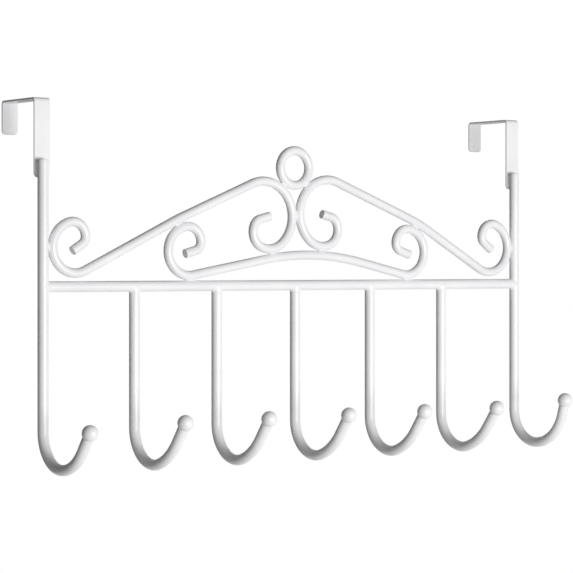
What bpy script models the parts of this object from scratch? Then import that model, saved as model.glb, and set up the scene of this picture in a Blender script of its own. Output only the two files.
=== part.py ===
"""Over-the-door hook rack, all welded from steel.

Two flat straps fold over the top of a door. A round upright is lapped on the front of each strap,
runs down and ends in a hook. A crossbar joins the uprights and carries five more hooks, and bent
wire scrollwork with a ring stands on it. A drilled ball closes the tip of each of the seven hooks.

Metres, +Z up, +X to the right as seen from the room, -Y towards the room.
The origin is halfway between the uprights, on the front top edge of the door.
"""
import bpy
import bmesh
from math import asin, atan2, cos, pi, radians, sin, sqrt
from mathutils import Vector

# Round stock, balls and the gap that touching pieces keep
ROD_DIAMETER = 0.0080
WIRE_DIAMETER = 0.0070
BALL_DIAMETER = 0.0118
SEAT_GAP = 0.0003

# Door straps: flat strip, folded twice, a little to the right of the uprights
STRAP_WIDTH = 0.0130
STRAP_SHIFT = 0.0018
STRAP_THICKNESS = 0.0015
STRAP_FOLD_RADIUS = 0.0022
STRAP_CORNER_RADIUS = 0.0030
DOOR_GAP = 0.0465
FRONT_LEG_LENGTH = 0.0580
REAR_LIP_LENGTH = 0.0250

# Frame: uprights and crossbar
UPRIGHT_SPACING = 0.4494
CROSSBAR_DROP = 0.1355
STRAP_LAP = 0.0130

# Hooks: a straight shank, a round bend, a wider bend and a straight tip. They hang a little to the left of the middle
HOOK_SPACING = 0.0733
HOOK_SHIFT = 0.0008
INNER_HOOK_COUNT = 5
HOOK_DEPTH = 0.1305
HOOK_BEND_RADIUS = 0.0262
HOOK_BEND_ANGLE = radians(108)
HOOK_LIP_RADIUS = 0.0490
HOOK_LIP_ANGLE = radians(35)
HOOK_TIP_LENGTH = 0.0186

# The two uprights end in slightly closer hooks. The right one is bent further up, round a smaller former, and its
# tip is shorter
UPRIGHT_BEND_RADIUS = 0.0262
UPRIGHT_BEND_ANGLE = radians(92)
UPRIGHT_LIP_RADIUS = 0.0359
UPRIGHT_LIP_RADIUS_SPREAD = 0.0015
UPRIGHT_LIP_ANGLES = {"left": radians(51), "right": radians(71.5)}
UPRIGHT_TIP_LENGTH = 0.0150
UPRIGHT_TIP_LENGTH_SPREAD = 0.0027

# Drilled balls on the hook tips
BALL_SOCKET_DEPTH = 0.0045

# Arch scroll: a shallow arch with a curl at each end, standing a little to the right of the middle,
# and the straight run between the arch and its right curl
ARCH_SHIFT = 0.0050
ARCH_APEX_SHIFT = 0.0112
ARCH_RADIUS = 0.2380
ARCH_RUN_LENGTH = 0.0430
ARCH_CURL_SPACING = 0.2086
ARCH_CURL_RADIUS = 0.0185
ARCH_CURL_ANGLE = radians(184)
ARCH_CURL_TOP_RADIUS = 0.0115
ARCH_CURL_TOP_ANGLE = radians(95)
ARCH_CURL_END_RADIUS = 0.0070
ARCH_CURL_END_ANGLE = radians(76)
ARCH_CURL_END_LENGTH = 0.0095

# Side scrolls: a round head, a curl inside it, a long slope over the arch's curl and a curl at the foot,
# which is a little larger on the right. The slope bends gently where it rests on the arch's curl, at the rest
# angle from straight above the curl's centre
HEAD_RADIUS = 0.0270
HEAD_JOINT_ANGLE = radians(50)
BELLY_RADIUS = 0.0192
BELLY_ANGLE = radians(60)
INNER_CURL_RADIUS = 0.0127
INNER_CURL_ANGLE = radians(92)
INNER_END_RADIUS = 0.0086
INNER_END_ANGLE = radians(54)
INNER_END_LENGTH = 0.0091
SLOPE_BEND_RADIUS = 0.1200
SLOPE_REST_ANGLE = radians(24.5)
FOOT_HEIGHT = 0.0098
FOOT_RADIUS = 0.01955
FOOT_RADIUS_SPREAD = 0.00065
FOOT_ANGLE = radians(191)
FOOT_CURL_RADIUS = 0.0107
FOOT_CURL_ANGLE = radians(106)
FOOT_END_RADIUS = 0.0066
FOOT_END_ANGLE = radians(56)
FOOT_END_LENGTH = 0.0095

# Ring between the two heads
RING_RADIUS = 0.0135

# Facets: the largest turn between two points of a bend, and the steps round a piece
BEND_STEP = radians(12)
SHALLOW_BEND_STEP = radians(3)
ROUND_STEPS = 12
BALL_STEPS = 16
TUBE_BEVEL_RESOLUTION = 4
FOLD_STEPS = 5
CORNER_STEPS = 4
MERGE_DISTANCE = 0.000002

# Finish: white powder coat on every piece
COAT_COLOUR = (0.83, 0.83, 0.84, 1.0)
COAT_ROUGHNESS = 0.32
SMOOTH_ANGLE = radians(35)

# Places worked out from the sizes above
ROD_RADIUS = ROD_DIAMETER / 2
WIRE_RADIUS = WIRE_DIAMETER / 2
BALL_RADIUS = BALL_DIAMETER / 2
HALF_SPACING = UPRIGHT_SPACING / 2
ROD_PLANE = -STRAP_THICKNESS - SEAT_GAP - ROD_RADIUS
STRAP_TOP = STRAP_THICKNESS
SIDES = (("left", -1), ("right", 1))


class BentPath:
    """A flat path as a bender makes it: straight runs and bends of a given centre-line radius."""

    def __init__(self, start, heading):
        self.points = [Vector(start)]
        self.heading = heading

    def run(self, length):
        """Goes straight on."""
        step = Vector((cos(self.heading), sin(self.heading))) * length
        self.points.append(self.points[-1] + step)
        return self

    def bend(self, radius, angle, largest_step=BEND_STEP):
        """Turns by an angle, to the left when it is positive."""
        side = 1 if angle > 0 else -1
        to_centre = Vector((-sin(self.heading), cos(self.heading))) * radius * side
        centre = self.points[-1] + to_centre
        count = max(2, round(abs(angle) / largest_step))
        first = self.heading
        for index in range(1, count + 1):
            self.heading = first + angle * index / count
            out = Vector((sin(self.heading), -cos(self.heading))) * radius * side
            self.points.append(centre + out)
        return self


def new_collection(name):
    """Adds an empty collection to the scene."""
    collection = bpy.data.collections.new(name)
    bpy.context.scene.collection.children.link(collection)
    return collection


def coat_material(name):
    """White powder coat for one piece."""
    material = bpy.data.materials.new(name + "_powder_coat")
    material.use_nodes = True
    shader = material.node_tree.nodes["Principled BSDF"]
    shader.inputs["Base Color"].default_value = COAT_COLOUR
    shader.inputs["Roughness"].default_value = COAT_ROUGHNESS
    shader.inputs["Metallic"].default_value = 0.0
    return material


def add_piece(name, data, collection):
    """Makes an object of a mesh or curve, with its own coat."""
    data.name = name
    data.materials.append(coat_material(name))
    piece = bpy.data.objects.new(name, data)
    collection.objects.link(piece)
    return piece


def smooth_mesh(mesh):
    """Shades a round mesh smooth and keeps its edges sharp."""
    mesh.shade_smooth()
    mesh.set_sharp_from_angle(angle=SMOOTH_ANGLE)


def bent_rod(name, places, diameter, collection):
    """A round rod or wire along a list of places, closed at both ends."""
    curve = bpy.data.curves.new(name, "CURVE")
    curve.dimensions = "3D"
    curve.bevel_depth = diameter / 2
    curve.bevel_resolution = TUBE_BEVEL_RESOLUTION
    curve.use_fill_caps = True
    spline = curve.splines.new("POLY")
    spline.points.add(len(places) - 1)
    for point, place in zip(spline.points, places):
        point.co = (*place, 1.0)
    return add_piece(name, curve, collection)


def strap_path():
    """The middle of the folded strip, from the foot of the front leg to the foot of the rear lip."""
    half = STRAP_THICKNESS / 2
    angles = [pi / 2 * index / CORNER_STEPS for index in range(CORNER_STEPS + 1)]
    corner = [STRAP_CORNER_RADIUS * (1 - cos(angle)) for angle in angles]
    corner_runs = [after - before for before, after in zip(corner, corner[1:])]
    to_fold = half + STRAP_FOLD_RADIUS
    path = BentPath((-half, STRAP_TOP - FRONT_LEG_LENGTH), pi / 2)
    for length in corner_runs:
        path.run(length)
    path.run(FRONT_LEG_LENGTH - STRAP_CORNER_RADIUS - to_fold)
    path.bend(STRAP_FOLD_RADIUS, -pi / 2, pi / 2 / FOLD_STEPS)
    path.run(DOOR_GAP + STRAP_THICKNESS - 2 * STRAP_FOLD_RADIUS)
    path.bend(STRAP_FOLD_RADIUS, -pi / 2, pi / 2 / FOLD_STEPS)
    path.run(REAR_LIP_LENGTH - STRAP_CORNER_RADIUS - to_fold)
    for length in reversed(corner_runs):
        path.run(length)
    return path


def strip_half_width(to_end):
    """Half the strip's width at a distance from its nearer end, with rounded corners."""
    into_corner = max(0.0, STRAP_CORNER_RADIUS - to_end)
    return STRAP_WIDTH / 2 - STRAP_CORNER_RADIUS + sqrt(STRAP_CORNER_RADIUS ** 2 - into_corner ** 2)


def door_strap(name, across, collection):
    """A flat blank with rounded corners, folded along the strap's path."""
    points = strap_path().points
    lengths = [0.0]
    for before, after in zip(points, points[1:]):
        lengths.append(lengths[-1] + (after - before).length)
    blank = bmesh.new()
    bmesh.ops.create_grid(blank, x_segments=len(points) - 1, y_segments=2, size=1)
    for vertex in blank.verts:
        index = round((vertex.co.x + 1) / 2 * (len(points) - 1))
        to_end = min(lengths[index], lengths[-1] - lengths[index])
        place = points[index]
        vertex.co = (across + vertex.co.y * strip_half_width(to_end), place.x, place.y)
    mesh = bpy.data.meshes.new(name)
    blank.to_mesh(mesh)
    blank.free()
    strap = add_piece(name, mesh, collection)
    wall = strap.modifiers.new("wall", "SOLIDIFY")
    wall.thickness = STRAP_THICKNESS
    wall.offset = 0.0
    wall.use_even_offset = True
    return strap


def hook_places(across, top, bottom, bend_radius, bend_angle, lip_radius, lip_angle, tip_length):
    """Places along a shank and its hook, from the top end to the tip, with the tip's direction."""
    path = BentPath((ROD_PLANE, top), -pi / 2)
    path.run(top - bottom - bend_radius)
    path.bend(bend_radius, -bend_angle)
    path.bend(lip_radius, -lip_angle)
    path.run(tip_length)
    places = [Vector((across, point.x, point.y)) for point in path.points]
    return places, (places[-1] - places[-2]).normalized()


def ball_tip(name, rod_end, direction, collection):
    """A turned ball with a blind hole that takes the rod's end."""
    hole = ROD_RADIUS + SEAT_GAP
    mouth = pi - asin(hole / BALL_RADIUS)
    hole_end = BALL_RADIUS * cos(mouth) + BALL_SOCKET_DEPTH
    count = BALL_STEPS // 2
    outline = [(BALL_RADIUS * sin(mouth * index / count), BALL_RADIUS * cos(mouth * index / count))
               for index in range(count + 1)]
    outline += [(hole, hole_end), (0.0, hole_end)]
    profile = bmesh.new()
    corners = [profile.verts.new((radius, 0.0, height)) for radius, height in outline]
    for before, after in zip(corners, corners[1:]):
        profile.edges.new((before, after))
    mesh = bpy.data.meshes.new(name)
    profile.to_mesh(mesh)
    profile.free()
    ball = add_piece(name, mesh, collection)
    turning = ball.modifiers.new("turning", "SCREW")
    turning.steps = BALL_STEPS
    turning.render_steps = BALL_STEPS
    turning.use_merge_vertices = True
    turning.merge_threshold = MERGE_DISTANCE
    turning.use_smooth_shade = True
    ball.location = rod_end - direction * (hole_end - SEAT_GAP)
    ball.rotation_mode = "QUATERNION"
    ball.rotation_quaternion = direction.to_track_quat("Z", "Y")
    return ball


def tangent_slope(first, second, reach):
    """Angle below level of a straight run, falling outwards, that passes two centres.

    reach is how much further the second centre lies beyond the run, along the run's upward side.
    """
    apart = Vector(second) - Vector(first)
    return asin(reach / apart.length) - atan2(apart.y, apart.x)


def arch_centres(side):
    """Centres of the arch's large arc and of the curl on one side, outwards and above the crossbar.

    The large arc lies as high as it takes for the straight run on its right to have its length.
    """
    curl_height = ROD_RADIUS + SEAT_GAP + WIRE_RADIUS + ARCH_CURL_RADIUS
    right_across = ARCH_CURL_SPACING / 2 + ARCH_SHIFT - ARCH_APEX_SHIFT
    apart_squared = (ARCH_RADIUS + ARCH_CURL_RADIUS) ** 2 + ARCH_RUN_LENGTH ** 2
    arch_height = curl_height - sqrt(apart_squared - right_across ** 2)
    arch = Vector((side * ARCH_APEX_SHIFT, arch_height))
    return arch, Vector((ARCH_CURL_SPACING / 2 + side * ARCH_SHIFT, curl_height))


def along_slope(apart, slope):
    """Length of a step between two places, measured along a slope that falls outwards."""
    return apart.x * cos(slope) - apart.y * sin(slope)


def frame_places(points, side):
    """Places in the plane of the rods, measured outwards on one side and above the crossbar's axis."""
    return [Vector((side * point.x, ROD_PLANE, point.y - CROSSBAR_DROP)) for point in points]


def arch_places():
    """The arch scroll, from its left end to its right end."""
    halves = []
    for _, side in SIDES:
        arch, curl = arch_centres(side)
        slope = tangent_slope(arch, curl, ARCH_RADIUS + ARCH_CURL_RADIUS)
        path = BentPath((arch.x, arch.y + ARCH_RADIUS), 0.0)
        path.bend(ARCH_RADIUS, -slope, SHALLOW_BEND_STEP)
        path.run(along_slope(curl - arch, slope))
        path.bend(ARCH_CURL_RADIUS, ARCH_CURL_ANGLE)
        path.bend(ARCH_CURL_TOP_RADIUS, ARCH_CURL_TOP_ANGLE)
        path.bend(ARCH_CURL_END_RADIUS, ARCH_CURL_END_ANGLE)
        path.run(ARCH_CURL_END_LENGTH)
        halves.append(frame_places(path.points, side))
    left, right = halves
    return left[:0:-1] + right


def head_centre(side):
    """Centre of a scroll's head, which touches its twin and rests its belly on the arch."""
    arch, _ = arch_centres(side)
    across = WIRE_RADIUS + SEAT_GAP / 2 + HEAD_RADIUS
    to_belly = (BELLY_RADIUS - HEAD_RADIUS) * Vector((cos(HEAD_JOINT_ANGLE), sin(HEAD_JOINT_ANGLE)))
    belly_across = across + to_belly.x
    apart = ARCH_RADIUS + BELLY_RADIUS + WIRE_DIAMETER + SEAT_GAP
    belly_height = arch.y + sqrt(apart ** 2 - (belly_across - arch.x) ** 2)
    return Vector((across, belly_height - to_belly.y))


def scroll_points(side):
    """A side scroll, from the curl inside its head to the curl at its foot."""
    _, arch_curl = arch_centres(side)
    head = head_centre(side)
    foot_radius = FOOT_RADIUS + side * FOOT_RADIUS_SPREAD
    foot_across = HALF_SPACING - ROD_RADIUS - SEAT_GAP - WIRE_RADIUS - foot_radius
    foot = Vector((foot_across, FOOT_HEIGHT + foot_radius))
    up_from_curl = Vector((sin(SLOPE_REST_ANGLE), cos(SLOPE_REST_ANGLE)))
    over_curl = ARCH_CURL_RADIUS + WIRE_DIAMETER + SEAT_GAP
    slope_bend = arch_curl + up_from_curl * (over_curl - SLOPE_BEND_RADIUS)
    upper_slope = tangent_slope(head, slope_bend, HEAD_RADIUS - SLOPE_BEND_RADIUS)
    lower_slope = tangent_slope(slope_bend, foot, SLOPE_BEND_RADIUS + foot_radius)

    joint = Vector((-cos(HEAD_JOINT_ANGLE), -sin(HEAD_JOINT_ANGLE)))
    joint_heading = pi / 2 + HEAD_JOINT_ANGLE
    inner = BentPath(head + joint * HEAD_RADIUS, joint_heading - pi)
    inner.bend(BELLY_RADIUS, BELLY_ANGLE)
    inner.bend(INNER_CURL_RADIUS, INNER_CURL_ANGLE)
    inner.bend(INNER_END_RADIUS, INNER_END_ANGLE)
    inner.run(INNER_END_LENGTH)

    outer = BentPath(head + joint * HEAD_RADIUS, joint_heading)
    outer.bend(HEAD_RADIUS, -joint_heading - upper_slope)
    outer.run(along_slope(slope_bend - head, upper_slope))
    outer.bend(SLOPE_BEND_RADIUS, upper_slope - lower_slope, SHALLOW_BEND_STEP)
    outer.run(along_slope(foot - slope_bend, lower_slope))
    outer.bend(foot_radius, FOOT_ANGLE)
    outer.bend(FOOT_CURL_RADIUS, FOOT_CURL_ANGLE)
    outer.bend(FOOT_END_RADIUS, FOOT_END_ANGLE)
    outer.run(FOOT_END_LENGTH)
    return inner.points[:0:-1] + outer.points


def crossbar(collection):
    """A plain rod between the uprights."""
    bpy.ops.mesh.primitive_cylinder_add(
        vertices=ROUND_STEPS,
        radius=ROD_RADIUS,
        depth=UPRIGHT_SPACING - ROD_DIAMETER - 2 * SEAT_GAP,
        location=(0.0, ROD_PLANE, -CROSSBAR_DROP),
        rotation=(0.0, pi / 2, 0.0),
    )
    return take_over_primitive("crossbar", collection)


def top_ring(collection):
    """A wire ring that sits in the notch between the two heads, touching both."""
    left, right = (frame_places([head_centre(side)], side)[0] for _, side in SIDES)
    between = (right - left) / 2
    apart = HEAD_RADIUS + RING_RADIUS + WIRE_DIAMETER + SEAT_GAP
    above_heads = sqrt(apart ** 2 - between.length ** 2)
    upward = Vector((-between.z, 0.0, between.x)).normalized()
    bpy.ops.mesh.primitive_torus_add(
        major_radius=RING_RADIUS,
        minor_radius=WIRE_RADIUS,
        major_segments=2 * ROUND_STEPS,
        minor_segments=ROUND_STEPS,
        location=left + between + upward * above_heads,
        rotation=(pi / 2, 0.0, 0.0),
    )
    return take_over_primitive("top_ring", collection)


def take_over_primitive(name, collection):
    """Names the primitive just added, coats it and moves it to the rack's collection."""
    piece = bpy.context.object
    piece.name = name
    piece.data.name = name
    piece.data.materials.append(coat_material(name))
    for owner in list(piece.users_collection):
        owner.objects.unlink(piece)
    collection.objects.link(piece)
    smooth_mesh(piece.data)
    return piece


def build_rack():
    """Builds every piece in the order in which the rack is welded."""
    for old in list(bpy.data.objects):
        bpy.data.objects.remove(old)
    rack = new_collection("over_door_hook_rack")

    # Straps and uprights, each upright with its hook and ball
    hook_bottom = -CROSSBAR_DROP - HOOK_DEPTH
    upright_top = STRAP_TOP - FRONT_LEG_LENGTH + STRAP_LAP
    tips = []
    for side_name, side in SIDES:
        across = side * HALF_SPACING
        door_strap(side_name + "_door_strap", across + STRAP_SHIFT, rack)
        lip_radius = UPRIGHT_LIP_RADIUS - side * UPRIGHT_LIP_RADIUS_SPREAD
        tip_length = UPRIGHT_TIP_LENGTH - side * UPRIGHT_TIP_LENGTH_SPREAD
        places, direction = hook_places(
            across, upright_top, hook_bottom, UPRIGHT_BEND_RADIUS, UPRIGHT_BEND_ANGLE,
            lip_radius, UPRIGHT_LIP_ANGLES[side_name], tip_length)
        bent_rod(side_name + "_upright", places, ROD_DIAMETER, rack)
        tips.append((side_name + "_upright_ball", places[-1], direction))

    # Crossbar and the hooks under it
    crossbar(rack)
    shank_top = -CROSSBAR_DROP - ROD_RADIUS - SEAT_GAP
    for number in range(1, INNER_HOOK_COUNT + 1):
        across = (number - (INNER_HOOK_COUNT + 1) / 2) * HOOK_SPACING - HOOK_SHIFT
        places, direction = hook_places(
            across, shank_top, hook_bottom, HOOK_BEND_RADIUS, HOOK_BEND_ANGLE,
            HOOK_LIP_RADIUS, HOOK_LIP_ANGLE, HOOK_TIP_LENGTH)
        bent_rod(f"hook_{number}", places, ROD_DIAMETER, rack)
        tips.append((f"hook_{number}_ball", places[-1], direction))
    for name, rod_end, direction in tips:
        ball_tip(name, rod_end, direction, rack)

    # Scrollwork on the crossbar
    bent_rod("arch_scroll", arch_places(), WIRE_DIAMETER, rack)
    for side_name, side in SIDES:
        bent_rod(side_name + "_scroll", frame_places(scroll_points(side), side), WIRE_DIAMETER, rack)
    top_ring(rack)
    bpy.context.view_layer.update()


build_rack()
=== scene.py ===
import math

import bpy
import numpy as np
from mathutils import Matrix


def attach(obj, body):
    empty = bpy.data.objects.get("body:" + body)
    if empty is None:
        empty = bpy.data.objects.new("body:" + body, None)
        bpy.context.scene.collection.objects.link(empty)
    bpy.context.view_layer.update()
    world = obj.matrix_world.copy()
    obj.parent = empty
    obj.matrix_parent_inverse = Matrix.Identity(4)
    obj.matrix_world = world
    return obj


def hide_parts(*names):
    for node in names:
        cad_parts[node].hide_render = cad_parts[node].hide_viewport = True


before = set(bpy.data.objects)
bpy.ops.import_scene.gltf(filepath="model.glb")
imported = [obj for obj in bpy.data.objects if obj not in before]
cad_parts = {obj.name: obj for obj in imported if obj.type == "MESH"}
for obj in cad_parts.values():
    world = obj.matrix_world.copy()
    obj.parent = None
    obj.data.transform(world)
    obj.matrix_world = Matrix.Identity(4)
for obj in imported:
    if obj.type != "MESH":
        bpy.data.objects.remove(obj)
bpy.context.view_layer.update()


# Door straps
# Two pieces of flat mild steel strip, 13 by 1.5 mm. Each is cropped with round corners, folded
# twice over a former, and hooks over the top edge of the door.
strap_width = 0.0130
strap_thickness = 0.0015
strap_edge = 0.00035
strap_corner = 0.0030
strap_fold = 0.0022
strap_shift = 0.0018
door_gap = 0.0465
front_leg = 0.0580
rear_lip = 0.0250
upright_spacing = 0.4494
sides = (("left", -1), ("right", 1))
# The rings along a leg or a lip and round a fold or a corner, and the steps over a long edge
leg_rings, lip_rings, fold_rings, corner_rings, edge_steps = 12, 6, 12, 6, 5
# Places across half the width of a face, and the share of its rounding that a cut end's wall takes
face_places = (0.93, 0.4, -0.4, -0.93)
wall_rounding = 0.999
# How thin the coat pulls over a cut end, and how far from the end
thin_at_edge = 0.8
thin_reach = 0.0006


def bent_line(start, heading, moves):
    """A flat line of straight runs and bends, each given as (length, turn, steps).

    After the share t of a move the line has turned by t * turn. It stands length * t * sin(x) / x
    away from where the move began, in the direction heading + x, where x is half of the angle
    turned so far. Returns the places and the headings.
    """
    places, headings = [np.array([start], float)], [np.array([heading], float)]
    for length, turn, steps in moves:
        share = np.arange(1, steps + 1) / steps
        half = share * turn / 2
        away = length * share * np.sinc(half / np.pi)
        towards = headings[-1][-1] + half
        step = away[:, None] * np.stack([np.cos(towards), np.sin(towards)], 1)
        places.append(places[-1][-1] + step)
        headings.append(headings[-1][-1] + 2 * half)
    return np.concatenate(places), np.concatenate(headings)


def stood_up(line, origin, first, second):
    """Puts a flat line in space: its places, and the ways ahead, left and out of its plane."""
    places, headings = line
    first, second = np.array(first, float), np.array(second, float)
    ahead = np.cos(headings)[:, None] * first + np.sin(headings)[:, None] * second
    left = np.cos(headings)[:, None] * second - np.sin(headings)[:, None] * first
    in_space = np.array(origin) + places @ np.stack([first, second])
    return in_space, ahead, left, np.cross(first, second)


def closed_surface(name, grid, poles=None, coat_grey=None):
    """A mesh of a grid of places whose rows are rings.

    Each end closes on a pole, or the last row on the first. The greyness given for each ring, from
    0 to 1, is kept in the mesh for the finish: it marks where the coat pulls thin over a cut edge,
    and paints the shade in the seam round a ball. The volume's sign tells whether the faces point
    outwards, and turns them round if they don't.
    """
    rows, steps = grid.shape[:2]
    number = np.arange(rows * steps).reshape(rows, steps)
    if poles is None:
        number = np.concatenate([number, number[:1]])
    beside = np.roll(number, -1, 1)
    quads = np.stack([number[:-1], beside[:-1], beside[1:], number[1:]], -1).reshape(-1, 4)
    places = grid.reshape(-1, 3)
    fans = np.zeros((0, 3), int)
    if poles is not None:
        places = np.concatenate([places, np.array(poles)])
        first, last = rows * steps, rows * steps + 1
        fans = np.concatenate([
            np.stack([beside[0], number[0], np.full(steps, first)], -1),
            np.stack([number[-1], beside[-1], np.full(steps, last)], -1)])
    corners = np.concatenate([quads[:, [0, 1, 2]], quads[:, [0, 2, 3]], fans])
    a, b, c = (places[corners[:, k]] - places[0] for k in range(3))
    if np.einsum("ij,ij->", np.cross(a, b), c) < 0:
        quads, fans = quads[:, ::-1], fans[:, ::-1]
    mesh = bpy.data.meshes.new(name)
    mesh.from_pydata(places, [], quads.tolist() + fans.tolist())
    if coat_grey is not None:
        at_poles = coat_grey[[0, -1]] if poles is not None else []
        whole = np.concatenate([np.repeat(coat_grey, steps), at_poles]).astype(np.float32)
        mesh.attributes.new("thin_coat_and_painted_shade", "FLOAT", "POINT").data.foreach_set("value", whole)
    mesh.shade_smooth()
    piece = bpy.data.objects.new(name, mesh)
    bpy.context.scene.collection.objects.link(piece)
    return piece


def linear(code):
    """The linear colour of an sRGB hex code.

    Each channel below 0.04045 is divided by 12.92. Any other has 0.055 added, is divided by 1.055
    and raised to 2.4.
    """
    channels = np.array([int(code[k:k + 2], 16) for k in (1, 3, 5)]) / 255
    curved = ((channels + 0.055) / 1.055) ** 2.4
    return (*np.where(channels < 0.04045, channels / 12.92, curved).tolist(), 1.0)


def add_node(tree, kind, values=None, links=None, **settings):
    """Adds a node with its settings, its sockets' values and its links from other nodes."""
    node = tree.nodes.new(kind)
    for key, value in settings.items():
        setattr(node, key, value)
    for socket, value in (values or {}).items():
        node.inputs[socket].default_value = value
    for socket, (source, output) in (links or {}).items():
        tree.links.new(source.outputs[output], node.inputs[socket])
    return node


# White polyester powder coat, sprayed and stoved: a neutral white with a soft gloss, slight orange
# peel, a faint cloudiness where the film is thicker, and a greyer line where it pulls thin over a
# cut edge. Real orange peel is 1 to 2 mm wide and a few hundredths of a millimetre deep. It is
# drawn 2.6 mm wide to show.
peel_width = 0.0026
peel_depth = 0.00001
cloud_width = 0.045
coat = bpy.data.materials.new("white_powder_coat")
coat.use_nodes = True
coat_tree = coat.node_tree
coat_tree.nodes.clear()
at = add_node(coat_tree, "ShaderNodeTexCoord")
clouds = add_node(coat_tree, "ShaderNodeTexNoise", {"Scale": 1 / cloud_width, "Detail": 3.0},
                  {"Vector": (at, "Object")})
coat_colours = add_node(coat_tree, "ShaderNodeValToRGB", links={"Fac": (clouds, "Fac")})
coat_colours.color_ramp.elements[0].position = 0.35
coat_colours.color_ramp.elements[0].color = linear("#EDEDEF")
coat_colours.color_ramp.elements[1].position = 0.65
coat_colours.color_ramp.elements[1].color = linear("#F3F3F4")
# The greyer colour marks where the coat pulls thin over a cut edge, and is painted shade in the
# seam round each ball.
thin_coat_and_painted_shade = add_node(coat_tree, "ShaderNodeAttribute", attribute_name="thin_coat_and_painted_shade")
coat_colour = add_node(coat_tree, "ShaderNodeMixRGB", {"Color2": linear("#D9D9DB")},
                       {"Fac": (thin_coat_and_painted_shade, "Fac"), "Color1": (coat_colours, "Color")})
coat_gloss = add_node(coat_tree, "ShaderNodeMapRange", {"To Min": 0.26, "To Max": 0.36},
                      {"Value": (clouds, "Fac")})
peel = add_node(coat_tree, "ShaderNodeTexNoise",
                {"Scale": 1 / peel_width, "Detail": 2.0, "Roughness": 0.4},
                {"Vector": (at, "Object")})
peel_bump = add_node(coat_tree, "ShaderNodeBump", {"Strength": 1.0, "Distance": peel_depth},
                     {"Height": (peel, "Fac")})
coat_shader = add_node(coat_tree, "ShaderNodeBsdfPrincipled", {"IOR": 1.5, "Metallic": 0.0},
                       {"Base Color": (coat_colour, "Color"), "Roughness": (coat_gloss, "Result"),
                        "Normal": (peel_bump, "Normal")})
add_node(coat_tree, "ShaderNodeOutputMaterial", links={"Surface": (coat_shader, "BSDF")})


def finish(piece, *nodes):
    """Coats a piece and puts it on the rack, in the place of the CAD nodes named."""
    piece.data.materials.append(coat)
    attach(piece, "root")
    if nodes:
        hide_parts(*nodes)


def folded_strap(name, across):
    """A strip carried along its folded middle line.

    The section is a rectangle whose corners are quarter circles. Near a cut end, at a distance d
    from it, half the width is less by corner - sqrt(corner**2 - (corner - d)**2), and half the
    thickness likewise. A corner's first rings are left out, as those of the edge lie there.
    """
    gone_by = 1 - np.cos(np.linspace(0, np.pi / 2, corner_rings + 1))
    from_end = np.unique(np.concatenate([strap_edge * gone_by, strap_corner * gone_by[2:]]))
    end_runs = [(length, 0.0, 1) for length in np.diff(from_end)]
    to_fold = strap_thickness / 2 + strap_fold
    fold = (strap_fold * np.pi / 2, -np.pi / 2, fold_rings)
    moves = end_runs + [(front_leg - strap_corner - to_fold, 0.0, leg_rings), fold]
    moves += [(door_gap + strap_thickness - 2 * strap_fold, 0.0, leg_rings), fold]
    moves += [(rear_lip - strap_corner - to_fold, 0.0, lip_rings)] + end_runs[::-1]
    line = bent_line((-strap_thickness / 2, strap_thickness - front_leg), np.pi / 2, moves)
    places, _, left, out = stood_up(line, (across, 0, 0), (0, 1, 0), (0, 0, 1))
    lengths = np.concatenate([np.full(steps, length / steps) for length, _, steps in moves])
    gone = np.concatenate([[0], np.cumsum(lengths)])
    to_end = np.minimum(gone, gone[-1] - gone)

    def short_by(radius):
        return radius - np.sqrt(radius ** 2 - np.clip(radius - to_end, 0, None) ** 2)

    half_width = strap_width / 2 - strap_edge - short_by(strap_corner)
    half_wall = strap_thickness / 2 - strap_edge - short_by(strap_edge) * wall_rounding
    arc = np.linspace(0, np.pi / 2, edge_steps + 1)
    along, full = np.array(face_places), np.ones(edge_steps + 1)
    face, edge = np.ones(len(along)), np.zeros(len(along))
    wall_share = np.concatenate([full, -full, -face, -full, full, face])
    width_share = np.concatenate([full, full, along, -full, -full, -along])
    wall_arc = np.concatenate([np.cos(arc), -np.sin(arc), -face, -np.cos(arc), np.sin(arc), face])
    width_arc = np.concatenate([np.sin(arc), np.cos(arc), edge, -np.sin(arc), -np.cos(arc), edge])
    wall = half_wall[:, None] * wall_share + strap_edge * wall_arc
    width = half_width[:, None] * width_share + strap_edge * width_arc
    grid = places[:, None] + wall[..., None] * left[:, None] + width[..., None] * out
    coat_grey = np.exp(-to_end / thin_reach) * thin_at_edge
    return closed_surface(name, grid, (places[0], places[-1]), coat_grey)


for side_name, side in sides:
    strap = folded_strap(side_name + "_strap", side * upright_spacing / 2 + strap_shift)
    finish(strap, side_name + "_door_strap")


# Uprights
# Two lengths of 8 mm bright round bar, cut square, bent cold into a hook at the foot and lapped on
# the front of the straps. The right hook is bent further up than the left, and its lip is shorter.
rod_radius = 0.0040
seat_gap = 0.0003
rod_edge = 0.0005
rod_plane = -strap_thickness - seat_gap - rod_radius
crossbar_drop = 0.1355
hook_drop = 0.13048
hook_foot = -crossbar_drop - hook_drop
strap_lap = 0.0130
upright_top = strap_thickness - front_leg + strap_lap
# A bend is its radius at the bar's middle and its turn. A lip has a straight tip's length as well.
upright_bend = (0.0262, math.radians(92))
upright_lips = {"left": (0.0374, math.radians(51), 0.0177),
                "right": (0.0344, math.radians(71.5), 0.0123)}
# The shallow dome inside a cut end's rounded edge: how far its rings and its top stand past the
# bar, with the edge's radius as 1, and how wide its rings are, with the flat's radius as 1
dome_reach, dome_top = (1.04, 1.07), 1.08
dome_width = (0.7, 0.35)
bar_steps = 32
bar_edge_rings = 5
run_step = 0.004
bend_step = math.radians(3)


def run(length):
    """A straight move, in steps of about 4 mm."""
    return length, 0.0, max(1, round(length / run_step))


def bend(radius, turn):
    """A bend of a given radius at the bar's middle, in steps of about 3 degrees."""
    return radius * abs(turn), turn, max(2, round(abs(turn) / bend_step))


def full_turn(steps, first=0.0):
    """The angles of even steps round a circle."""
    return (np.arange(steps) + first) * 2 * np.pi / steps


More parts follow.
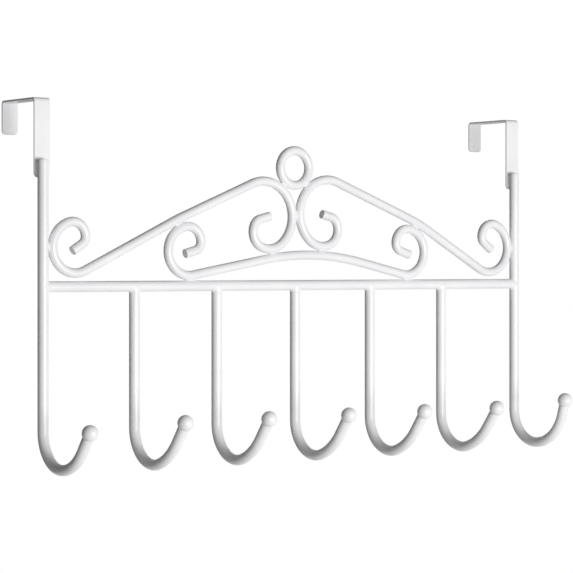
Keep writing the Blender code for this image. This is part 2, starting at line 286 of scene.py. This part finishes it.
def round_bar(name, line, radius, edge=rod_edge):
    """A round bar along a line, cut square at both ends.

    Ring k is the middle line's place plus radius * (cos a * left + sin a * out). At a cut end the
    edge is a quarter circle, and the flat inside it is a shallow dome, as the coat leaves it.
    """
    places, ahead, left, out = line
    turned = np.linspace(0, np.pi / 2, bar_edge_rings + 1)[1:]
    past = edge * np.concatenate([np.sin(turned), dome_reach])
    flat = radius - edge
    wide = np.concatenate([flat + edge * np.cos(turned), flat * np.array(dome_width)])
    middle = places.copy()
    middle[0] += edge * ahead[0]
    middle[-1] -= edge * ahead[-1]
    first = middle[0] - past[::-1, None] * ahead[0]
    last = middle[-1] + past[:, None] * ahead[-1]
    rings = np.concatenate([first, middle, last])
    lefts = np.pad(left, ((len(past), len(past)), (0, 0)), "edge")
    widths = np.concatenate([wide[::-1], np.full(len(middle), radius), wide])
    angle = full_turn(bar_steps)
    section = np.cos(angle)[:, None] * lefts[:, None] + np.sin(angle)[:, None] * out
    grid = rings[:, None] + widths[:, None, None] * section
    on_edge = thin_at_edge * np.sin(np.linspace(0, np.pi, len(past)))
    coat_grey = np.concatenate([on_edge[::-1], np.zeros(len(middle)), on_edge])
    top = edge * dome_top
    return closed_surface(name, grid, (middle[0] - top * ahead[0], middle[-1] + top * ahead[-1]),
                          coat_grey)


def hook_line(across, top, first_bend, lip_radius, lip_turn, tip):
    """The middle line of a hook, from the top of its shank to its tip, which it also returns."""
    moves = [run(top - hook_foot - first_bend[0]), bend(first_bend[0], -first_bend[1])]
    moves += [bend(lip_radius, -lip_turn), run(tip)]
    flat_line = bent_line((rod_plane, top), -np.pi / 2, moves)
    line = stood_up(flat_line, (across, 0, 0), (0, 1, 0), (0, 0, 1))
    return line, (line[0][-1], line[1][-1])


tips = []
for side_name, side in sides:
    line, tip = hook_line(side * upright_spacing / 2, upright_top, upright_bend,
                          *upright_lips[side_name])
    finish(round_bar(side_name + "_upright_bar", line, rod_radius), side_name + "_upright")
    tips.append((side_name + "_upright_ball", *tip))


# Crossbar
# A straight piece of the same 8 mm bar, cut square and butt-welded between the uprights.
crossbar_half = upright_spacing / 2 - rod_radius - seat_gap
crossbar_flat = bent_line((-crossbar_half, -crossbar_drop), 0.0, [run(2 * crossbar_half)])
crossbar_line = stood_up(crossbar_flat, (0, rod_plane, 0), (1, 0, 0), (0, 0, 1))
finish(round_bar("crossbar_bar", crossbar_line, rod_radius), "crossbar")


# Hooks
# Five more pieces of 8 mm bar, bent alike on one former, and welded under the crossbar by their
# upper ends. They stand about 1 mm left of the middle.
hook_spacing = 0.0733
hook_shift = 0.0008
hook_bend = (0.0262, math.radians(108))
hook_lip = (0.0490, math.radians(35), 0.0186)
shank_top = -crossbar_drop - rod_radius - seat_gap
hook_places = [hook_spacing * step - hook_shift for step in (-2, -1, 0, 1, 2)]
for number, across in enumerate(hook_places, 1):
    line, tip = hook_line(across, shank_top, hook_bend, *hook_lip)
    finish(round_bar(f"hook_{number}_bar", line, rod_radius), f"hook_{number}")
    tips.append((f"hook_{number}_ball", *tip))


# Balls
# Seven turned steel balls of 11.8 mm, each drilled part way and pressed on the tip of a hook. They
# are drawn 0.1 mm smaller, to stay inside the solid model. The coat rounds the mouth of the hole
# and leaves a fine seam round the bar.
ball_radius = 0.00585
ball_socket = 0.0045
hole_radius = rod_radius + seat_gap / 3
mouth_edge = 0.00022
ball_mouth = math.asin((hole_radius + mouth_edge) / ball_radius)
# How far the mouth's edge bulges, as a share of its radius, and where the hole's wall starts
mouth_bulge = 0.35
wall_start = 0.0006
# The painted shade in the seam round the bar: how grey it makes the coat, and how far up and down
seam_painted_shade = 0.7
seam_reach = 0.0002
ball_pole = 0.04
ball_rings, ball_steps, mouth_rings = 30, 48, 5


def turned_ball(name, bar_end, ahead):
    """A ball turned about the bar's direction.

    The outline is a circle of the ball's radius down to the mouth, a small quarter turn over the
    mouth's edge, and the wall and floor of the hole. Its points are carried round the axis.
    """
    angle = np.linspace(ball_pole, np.pi - ball_mouth, ball_rings)
    over = np.linspace(0, 1, mouth_rings + 1)[1:]
    mouth_height = ball_radius * math.cos(angle[-1])
    mouth_width = ball_radius * math.sin(angle[-1])
    lip_wide = mouth_width - mouth_edge * (1 - np.cos(over * np.pi / 2))
    lip_high = mouth_height - mouth_edge * mouth_bulge * np.sin(over * np.pi)
    hole_end = mouth_height + ball_socket
    hole_wide = [hole_radius, hole_radius, hole_radius / 2]
    hole_high = [mouth_height + wall_start, hole_end, hole_end]
    wide = np.concatenate([ball_radius * np.sin(angle), lip_wide, hole_wide])
    high = np.concatenate([ball_radius * np.cos(angle), lip_high, hole_high])
    centre = bar_end - ahead * (hole_end - seat_gap)
    out = np.array([1.0, 0.0, 0.0])
    around = full_turn(ball_steps)[:, None]
    spoke = np.cos(around) * out + np.sin(around) * np.cross(ahead, out)
    grid = centre + high[:, None, None] * ahead + wide[:, None, None] * spoke
    # Painted shade: a greyer line in the seam, where the ball meets the bar.
    coat_grey = seam_painted_shade * np.exp(-((high - mouth_height) / seam_reach) ** 2)
    return closed_surface(name, grid, (centre + ball_radius * ahead, centre + hole_end * ahead),
                          coat_grey)


for name, bar_end, ahead in tips:
    finish(turned_ball(name.replace("_ball", "_knob"), bar_end, ahead), name)


# Arch scroll
# One 7 mm wire, bent into a shallow arch whose ends curl up and in on smaller and smaller formers.
# It stands on the crossbar a little to the right of the middle.
wire_radius = 0.0035
wire_edge = 0.0004
arch_shift = 0.0050
arch_apex_shift = 0.0112
arch_radius = 0.2380
arch_rings = 24
arch_run = 0.0430
arch_curl_spacing = 0.2086
arch_curl = (0.0185, math.radians(184))
arch_curl_top = (0.0115, math.radians(95))
arch_curl_end = (0.0070, math.radians(76))
arch_end_run = 0.0095
curl_height = rod_radius + seat_gap + wire_radius + arch_curl[0]
curl_across = arch_curl_spacing / 2 + arch_shift - arch_apex_shift
curl_reach_squared = (arch_radius + arch_curl[0]) ** 2 + arch_run ** 2
arch_height = curl_height - math.sqrt(curl_reach_squared - curl_across ** 2)


def arch_middles(side):
    """The middles of the arch and of its curl on one side, measured outwards and above the bar."""
    arch = np.array([side * arch_apex_shift, arch_height])
    return arch, np.array([arch_curl_spacing / 2 + side * arch_shift, curl_height])


def falling(first, second, reach):
    """How steeply a straight run falls outwards past two middles, the second further in by reach.

    The angle has a sine of reach over their distance, less the angle at which the second stands
    above the first.
    """
    apart = second - first
    return math.asin(reach / math.hypot(*apart)) - math.atan2(apart[1], apart[0])


def down_slope(apart, slope):
    """The part of a step that lies along a slope."""
    return apart[0] * math.cos(slope) - apart[1] * math.sin(slope)


def in_frame(line, side):
    """Stands a line of the scrollwork on the crossbar, on the left or right."""
    return stood_up(line, (0, rod_plane, -crossbar_drop), (side, 0, 0), (0, 0, 1))


def joined(back, onward, turned_over):
    """Two lines that start at one place made one: back along the first, and on along the second.

    turned_over is -1 where the first one's left becomes its right on the way back, and 1 where
    the first one is a mirror image, which keeps it.
    """
    places, ahead, left, out = onward
    return (np.concatenate([back[0][:0:-1], places]),
            np.concatenate([-back[1][:0:-1], ahead]),
            np.concatenate([turned_over * back[2][:0:-1], left]), out)


halves = []
for _, side in sides:
    arch, curl = arch_middles(side)
    slope = falling(arch, curl, arch_radius + arch_curl[0])
    moves = [(arch_radius * slope, -slope, arch_rings), run(down_slope(curl - arch, slope))]
    moves += [bend(*arch_curl), bend(*arch_curl_top), bend(*arch_curl_end), run(arch_end_run)]
    halves.append(in_frame(bent_line((arch[0], arch[1] + arch_radius), 0.0, moves), side))
finish(round_bar("arch_wire", joined(*halves, 1), wire_radius, wire_edge), "arch_scroll")


# Side scrolls
# Two 7 mm wires, mirrored. Each is bent from the curl inside its round head, down a long slope that
# rests on the arch's curl with a shallow bend, to a curl at the foot, a little larger on the right.
head_radius = 0.0270
head_joint = math.radians(50)
belly = (0.0192, math.radians(60))
inner_curl = (0.0127, math.radians(92))
inner_end = (0.0086, math.radians(54))
inner_end_run = 0.0091
slope_bend_radius = 0.1200
slope_bend_rings = 8
slope_rest = math.radians(24.5)
foot_height = 0.0098
foot_radii = {"left": 0.0189, "right": 0.0202}
foot_turn = math.radians(191)
foot_curl = (0.0107, math.radians(106))
foot_end = (0.0066, math.radians(56))
foot_end_run = 0.0095
# Flat ways, outwards and up: from the joint of the two bends to the head's middle, from there to
# the middle of the belly, and from the arch's curl to the slope that rests on it
from_joint = np.array([math.cos(head_joint), math.sin(head_joint)])
to_belly = (belly[0] - head_radius) * from_joint
to_slope = np.array([math.sin(slope_rest), math.cos(slope_rest)])


def head_middle(side):
    """The middle of a head, which touches its twin, and whose belly rests on the arch."""
    arch, _ = arch_middles(side)
    across = wire_radius + seat_gap / 2 + head_radius
    apart = arch_radius + belly[0] + 2 * wire_radius + seat_gap
    height = arch[1] + math.sqrt(apart ** 2 - (across + to_belly[0] - arch[0]) ** 2)
    return np.array([across, height - to_belly[1]])


def foot_middle(side_name):
    """The middle of a foot's curl, which touches the upright."""
    radius = foot_radii[side_name]
    across = upright_spacing / 2 - rod_radius - seat_gap - wire_radius - radius
    return np.array([across, foot_height + radius])


def slope_middle(side):
    """The middle of the slope's shallow bend, which rests on the arch's curl at its set angle."""
    _, curl = arch_middles(side)
    return curl + (arch_curl[0] + 2 * wire_radius + seat_gap - slope_bend_radius) * to_slope


for side_name, side in sides:
    head, middle, foot = head_middle(side), slope_middle(side), foot_middle(side_name)
    foot_radius = foot_radii[side_name]
    upper = falling(head, middle, head_radius - slope_bend_radius)
    lower = falling(middle, foot, slope_bend_radius + foot_radius)
    joint = head - head_radius * from_joint
    heading = np.pi / 2 + head_joint
    inner_moves = [bend(*belly), bend(*inner_curl), bend(*inner_end), run(inner_end_run)]
    outer_moves = [bend(head_radius, -heading - upper), run(down_slope(middle - head, upper))]
    outer_moves += [(slope_bend_radius * abs(upper - lower), upper - lower, slope_bend_rings)]
    outer_moves += [run(down_slope(foot - middle, lower)), bend(foot_radius, foot_turn)]
    outer_moves += [bend(*foot_curl), bend(*foot_end), run(foot_end_run)]
    inner = in_frame(bent_line(joint, heading - np.pi, inner_moves), side)
    outer = in_frame(bent_line(joint, heading, outer_moves), side)
    finish(round_bar(side_name + "_scroll_wire", joined(inner, outer, -1), wire_radius, wire_edge),
           side_name + "_scroll")


# Top ring
# A piece of the same wire, coiled to a ring and butt-welded shut. It sits in the notch between the
# two heads.
ring_radius = 0.0135
ring_steps = 120
head_places = [in_frame((head_middle(side)[None], np.zeros(1)), side)[0][0] for _, side in sides]
between = (head_places[1] - head_places[0]) / 2
half_apart = math.hypot(*between)
up_from_heads = np.array([-between[2], 0.0, between[0]]) / half_apart
ring_reach = head_radius + ring_radius + 2 * wire_radius + seat_gap
ring_rise = math.sqrt(ring_reach ** 2 - half_apart ** 2)
ring_middle = head_places[0] + between + up_from_heads * ring_rise
# The surface is the middle, plus the ring's radius along a spoke, plus the wire's radius along its
# section, which lies in the plane of the spoke and the ring's axis
turned = full_turn(ring_steps)
spoke = np.stack([np.cos(turned), np.zeros(ring_steps), np.sin(turned)], 1)
around = full_turn(bar_steps)[:, None]
section = np.cos(around) * spoke[:, None] + np.sin(around) * np.array([0, 1, 0])
ring_grid = ring_middle + ring_radius * spoke[:, None] + wire_radius * section
finish(closed_surface("ring_wire", ring_grid, coat_grey=np.zeros(ring_steps)), "top_ring")


# Welds
# Small beads of weld metal where the bars meet, rounded over by the coat: a collar round each butt
# joint, a neck at each touch, and a fillet on either side of each upright, where it lies on its
# strap.
weld_depth = 0.0004
# Collars: the fillet's size where it is largest and smallest, how wide its buried rim is against
# it, how far the collar stands proud of the bar and sinks in at last, its two rings past the bar's
# cut end, and how deep its poles lie
collar_fillet, collar_least = 0.0012, 0.0001
collar_rim = 0.8
collar_proud, collar_sunk = 0.00005, 0.0001
collar_past = (0.0003, 0.0007)
collar_root, collar_tip = 0.002, 0.0003
collar_steps, collar_rings = 48, 7
# Necks: half the width, the waist and the buried rims as shares, and half the lengths
neck_width = 0.0022
neck_waist, neck_rim = 0.4, 0.9
neck_steps, neck_rings = 40, 13
neck_lengths = {"arch_foot": 0.0050, "slope": 0.0055, "belly": 0.0045, "scroll_foot": 0.0045,
                "heads": 0.0050, "ring": 0.0045}
# Fillets at the straps: the hollow's radius, half the length, and in the section, from the bar's
# axis and above the strap, the corners buried in the metal and the point that it swells from
lap_fillet = 0.0008
lap_half = 0.0055
lap_buried = ((0.00246, 0.00167), (0.0022, 0.0006), (0.0024, -0.0002), (0.0031, -0.0002))
lap_inside = np.array([0.0025, 0.0004])
lap_rings, hollow_steps = 19, 9


def unit(way):
    """A direction of length one."""
    return np.array(way) / np.linalg.norm(way)


def butt_weld(name, place, ahead, beside):
    """A collar round a bar that butts ahead from place, on the axis of an equal bar beside it.

    At the angle a round the butting bar, the other bar's surface stands radius * |cos a| above its
    own axis. The collar leaves it on a quarter circle that shrinks with |cos a|, follows the
    butting bar past its cut end, and sinks into it.
    """
    angle = full_turn(collar_steps, 0.5)
    share, sign = np.abs(np.cos(angle)), np.sign(np.cos(angle))
    size = collar_least + collar_fillet * share
    surface = rod_radius * share
    curve = np.linspace(0, np.pi / 2, collar_rings)[:, None]
    end = rod_radius + seat_gap + rod_edge + np.array(collar_past)[:, None]
    proud = [collar_proud] * (collar_rings + len(collar_past)) + [-collar_sunk]
    skin = rod_radius + np.array(proud)[:, None]
    past = np.concatenate([size[None] * collar_rim, size * (1 - np.sin(curve)),
                           np.zeros((len(collar_past), collar_steps))])
    height = np.concatenate([surface[None] - weld_depth, surface + size * (1 - np.cos(curve)),
                             end + np.zeros(collar_steps)])
    ahead, beside = np.array(ahead, float), np.array(beside, float)
    grid = (place + height[..., None] * ahead + ((skin * share + past) * sign)[..., None] * beside
            + (skin * np.sin(angle))[..., None] * np.cross(ahead, beside))
    poles = (place + collar_root * ahead, place + (end[1, 0] + collar_tip) * ahead)
    return closed_surface(name, grid, poles)


def touch_weld(name, place, towards, first, second, half_length):
    """A neck between two bars that touch, each given as its radius and how sharply it bends away.

    At (x, y) from the touch each bar's surface stands half the gap
    + radius - sqrt(radius**2 - y**2) + bending * x**2 / 2 away. The rim is an ellipse on each bar.
    As b goes from -90 to 90 degrees the neck draws in by waist * cos b and rises from one bar to
    the other with sin b.
    """
    around = full_turn(neck_steps)
    turned = np.linspace(-np.pi / 2, np.pi / 2, neck_rings)
    share = np.concatenate([[neck_rim], 1 - neck_waist * np.cos(turned), [neck_rim]])[:, None]
    rise = np.concatenate([[-1.0], np.sin(turned), [1.0]])[:, None]
    sunk = weld_depth * np.concatenate([[-1.0], np.zeros(neck_rings), [1.0]])[:, None]
    x, y = share * half_length * np.cos(around), share * neck_width * np.sin(around)
    low, high = (seat_gap / 2 + radius - np.sqrt(radius ** 2 - y ** 2) + bending * x ** 2 / 2
                 for radius, bending in (first, second))
    height = (high - low) / 2 + (high + low) / 2 * rise + sunk
    towards, front = unit(towards), np.array([0.0, 1.0, 0.0])
    grid = (place + x[..., None] * np.cross(towards, front) + y[..., None] * front
            + height[..., None] * towards)
    pole = 2 * weld_depth * towards
    return closed_surface(name, grid, (place - pole, place + pole))


def lap_weld(name, across, side, middle_height):
    """A fillet in the corner between a strap's face and the bar on it.

    Its hollow side is part of a circle that touches both. Along the bar the section swells from
    nothing and back with sqrt(1 - share**4) about a point inside the corner.
    """
    axis_depth = rod_radius + seat_gap
    reach = (rod_radius + lap_fillet) ** 2 - (axis_depth - lap_fillet) ** 2
    centre = np.array([math.sqrt(reach), lap_fillet])
    on_bar = math.atan2(axis_depth - centre[1], -centre[0])
    turned = np.linspace(1.5 * np.pi, on_bar, hollow_steps)
    hollow = centre + lap_fillet * np.stack([np.cos(turned), np.sin(turned)], 1)
    section = np.concatenate([hollow, lap_buried])
    share = np.linspace(-1, 1, lap_rings + 2)[1:-1]
    swell = np.sqrt(1 - share ** 4)[:, None, None]
    flat = lap_inside + swell * (section - lap_inside)
    height = np.broadcast_to((middle_height + lap_half * share)[:, None], flat.shape[:2])
    grid = np.stack([across + side * flat[..., 0], -strap_thickness - flat[..., 1], height], -1)
    ends = [(across + side * lap_inside[0], -strap_thickness - lap_inside[1],
             middle_height + lap_half * end) for end in (-1, 1)]
    return closed_surface(name, grid, ends)


def bent_wire(radius):
    """A wire as touch_weld takes it, touched outside a bend, or inside it for a radius below 0."""
    return wire_radius, 1 / (radius + wire_radius)


for number, across in enumerate(hook_places, 1):
    place = np.array([across, rod_plane, -crossbar_drop])
    finish(butt_weld(f"hook_{number}_weld", place, (0, 0, -1), (1, 0, 0)))

straight = (rod_radius, 0.0)
for side_name, side in sides:
    upright_x = side * upright_spacing / 2
    joint = np.array([upright_x, rod_plane, -crossbar_drop])
    finish(butt_weld(side_name + "_crossbar_weld", joint, (-side, 0, 0), (0, 0, 1)))
    for edge_name, edge in sides:
        finish(lap_weld(f"{side_name}_strap_{edge_name}_weld", upright_x, edge,
                        upright_top - strap_lap / 2))

    # The touches of the scrollwork on this side: a flat place, the way across it and the two bars
    arch, curl = arch_middles(side)
    head, foot = head_middle(side), foot_middle(side_name)
    foot_radius = foot_radii[side_name]
    up_from_arch = unit(head + to_belly - arch)
    to_touch = wire_radius + seat_gap / 2
    touches = {
        "arch_foot": (curl - (0, arch_curl[0] + to_touch), (0, -1),
                      bent_wire(arch_curl[0]), straight),
        "slope": (curl + (arch_curl[0] + to_touch) * to_slope, to_slope,
                  bent_wire(arch_curl[0]), bent_wire(-slope_bend_radius)),
        "belly": (arch + (arch_radius + to_touch) * up_from_arch, up_from_arch,
                  bent_wire(arch_radius), bent_wire(belly[0])),
        "scroll_foot": (foot + (foot_radius + to_touch, 0), (1, 0),
                        bent_wire(foot_radius), straight)}
    for touch, (flat_place, way, first, second) in touches.items():
        place = in_frame((np.array([flat_place]), np.zeros(1)), side)[0][0]
        finish(touch_weld(f"{side_name}_{touch}_weld", place, (side * way[0], 0, way[1]),
                          first, second, neck_lengths[touch]))

head_wire = bent_wire(head_radius)
finish(touch_weld("heads_weld", (head_places[0] + head_places[1]) / 2, (1, 0, 0),
                  head_wire, head_wire, neck_lengths["heads"]))
for (side_name, _), place in zip(sides, head_places):
    towards = unit(ring_middle - place)
    touch = place + (head_radius + wire_radius + seat_gap / 2) * towards
    finish(touch_weld(side_name + "_ring_weld", touch, towards,
                      head_wire, bent_wire(ring_radius), neck_lengths["ring"]))


# Stage
# A plain pale floor far under the hanging rack, as under a door, a white surround, soft lamps and
# a dark card beyond the upper left. The camera stands level and looks from 35.57 degrees left.
rack_middle = np.array([0.0, 0.0, -0.13])
camera_place = (-1.0408, -1.4486, -0.1190)
camera_turn = math.radians(-35.57)
floor_height = -1.6
floor_half = 6.0
card_middle = np.array([-0.32, 1.23, 0.85])
card_half = 4.5
square = ((-1, -1), (1, -1), (1, 1), (-1, 1))
scene = bpy.context.scene
scene.view_settings.view_transform = "Standard"

camera_data = bpy.data.cameras.new("camera")
camera_data.sensor_width = 36.0
camera_data.lens = 143.7
camera_data.shift_y = -0.0394
camera = bpy.data.objects.new("camera", camera_data)
camera.location = camera_place
camera.rotation_euler = (math.pi / 2, 0.0, camera_turn)
scene.collection.objects.link(camera)
scene.camera = camera


def shown(tree):
    """An output of 1 for rays from the camera, off a gloss or through glass, and 0 for others."""
    path = add_node(tree, "ShaderNodeLightPath")
    output = (path, "Is Camera Ray")
    for kind in ("Is Glossy Ray", "Is Transmission Ray"):
        either = add_node(tree, "ShaderNodeMath", links={0: output, 1: (path, kind)},
                          operation="MAXIMUM")
        output = (either, 0)
    return output


def lamp(name, place, width, height, power):
    """A soft rectangular lamp that faces the rack."""
    data = bpy.data.lights.new(name, "AREA")
    data.shape = "RECTANGLE"
    data.size, data.size_y = width, height
    data.energy = power
    piece = bpy.data.objects.new(name, data)
    scene.collection.objects.link(piece)
    piece.visible_camera = False
    piece.location = place
    towards = rack_middle - np.array(place)
    level_run = math.hypot(towards[0], towards[1])
    piece.rotation_euler = (math.pi / 2 + math.atan2(towards[2], level_run), 0.0,
                            math.atan2(-towards[0], towards[1]))
    return piece


def sheet(name, corners, paint):
    """A flat rectangle of one paint."""
    mesh = bpy.data.meshes.new(name)
    mesh.from_pydata(corners, [], [(0, 1, 2, 3)])
    mesh.materials.append(paint)
    piece = bpy.data.objects.new(name, mesh)
    scene.collection.objects.link(piece)
    return piece


# The surround is white to the eye and in the gloss, and lights the rack with about a third of that
world = bpy.data.worlds.new("white_surround")
scene.world = world
world.use_nodes = True
world_tree = world.node_tree
world_tree.nodes.clear()
level = add_node(world_tree, "ShaderNodeMapRange", {"To Min": 0.32, "To Max": 1.0},
                 {"Value": shown(world_tree)})
white = add_node(world_tree, "ShaderNodeBackground", {"Color": (1, 1, 1, 1)},
                 {"Strength": (level, "Result")})
add_node(world_tree, "ShaderNodeOutputWorld", links={"Surface": (white, "Background")})

# The key lamp stands square to the rack. A second lamp, opposite the camera, lights the back and
# the tops. It is kept out of the gloss, so that the edges seen from the front mirror only the card.
lamp("key_lamp", place=(0.10, -1.75, -0.34), width=1.0, height=0.5, power=22.6)
back_lamp = lamp("back_lamp", place=(1.10, 1.60, 0.50), width=1.2, height=1.0, power=50.0)
back_lamp.visible_glossy = False

# A large dark card behind the upper left, as a photographer sets to draw the edges of a white
# thing: matt black paper
card_paint = bpy.data.materials.new("dark_card")
card_paint.use_nodes = True
card_shader = card_paint.node_tree.nodes["Principled BSDF"]
card_shader.inputs["Base Color"].default_value = linear("#1C1C1C")
card_shader.inputs["Roughness"].default_value = 0.9
card_away = unit(card_middle - rack_middle)
card_side = unit(np.cross(card_away, (0, 0, 1)))
card_up = np.cross(card_side, card_away)
card = sheet("dark_card", [card_middle + card_half * (a * card_side + b * card_up)
                           for a, b in square], card_paint)
card.visible_camera = False

# Matt pale paint on the floor. To the eye and in the gloss it is as white as the surround, and no
# light is looked for on it.
floor_paint = bpy.data.materials.new("pale_floor")
floor_paint.use_nodes = True
floor_paint.cycles.emission_sampling = "NONE"
floor_tree = floor_paint.node_tree
floor_tree.nodes.clear()
matt = add_node(floor_tree, "ShaderNodeBsdfDiffuse", {"Color": linear("#F2F2F2")})
glow = add_node(floor_tree, "ShaderNodeEmission", {"Color": (1, 1, 1, 1), "Strength": 1.0})
both = add_node(floor_tree, "ShaderNodeMixShader", links={
    0: shown(floor_tree), 1: (matt, "BSDF"), 2: (glow, "Emission")})
add_node(floor_tree, "ShaderNodeOutputMaterial", links={"Surface": (both, "Shader")})
floor = sheet("floor", [(a * floor_half, b * floor_half, floor_height) for a, b in square],
              floor_paint)
